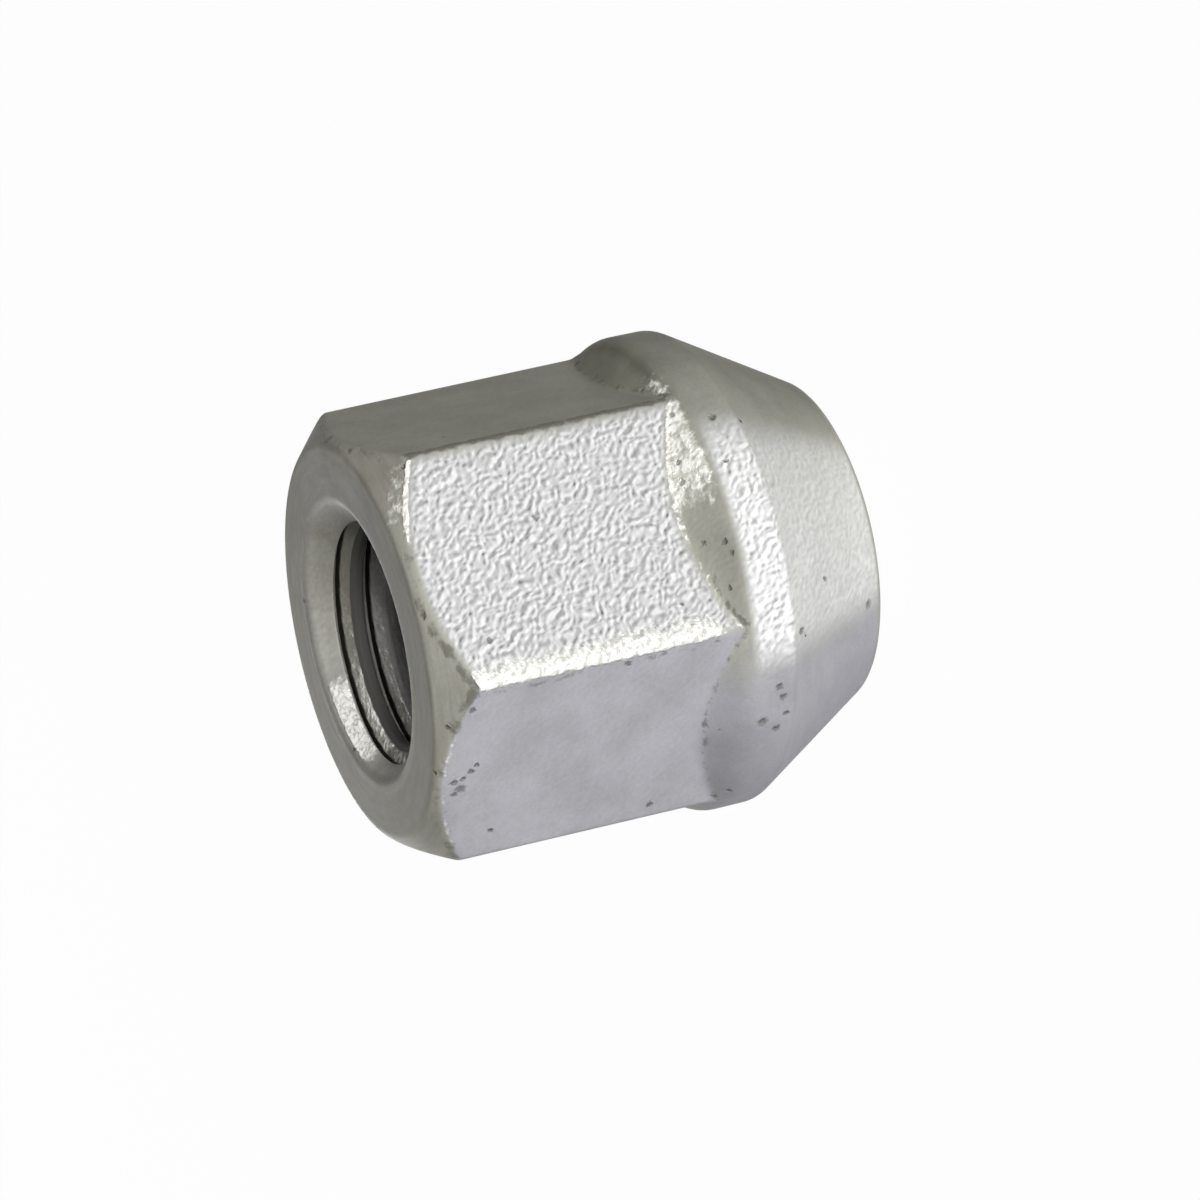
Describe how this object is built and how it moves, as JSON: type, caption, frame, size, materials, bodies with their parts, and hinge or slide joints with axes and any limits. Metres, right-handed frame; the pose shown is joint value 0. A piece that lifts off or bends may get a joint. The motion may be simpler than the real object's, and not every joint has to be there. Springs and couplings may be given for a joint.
{
  "type": "lug nut",
  "caption": "Open-end wheel lug nut: hexagonal grip that swells into a round collar with a conical seat, and a threaded bore right through it.",
  "frame": {"origin": "on the bore's axis, in the flat small end of the conical seat, which the nut stands on", "axes": "+Z along the bore from the seat to the open hexagon end; +X through a corner of the hexagon, so that flats face +Y and -Y"},
  "size_m": [0.0224, 0.0224, 0.0227],
  "materials": {
    "coated_steel": "satin"
  },
  "bodies": {
    "root": {"lug_nut": "coated_steel"}
  },
  "joints": []
}
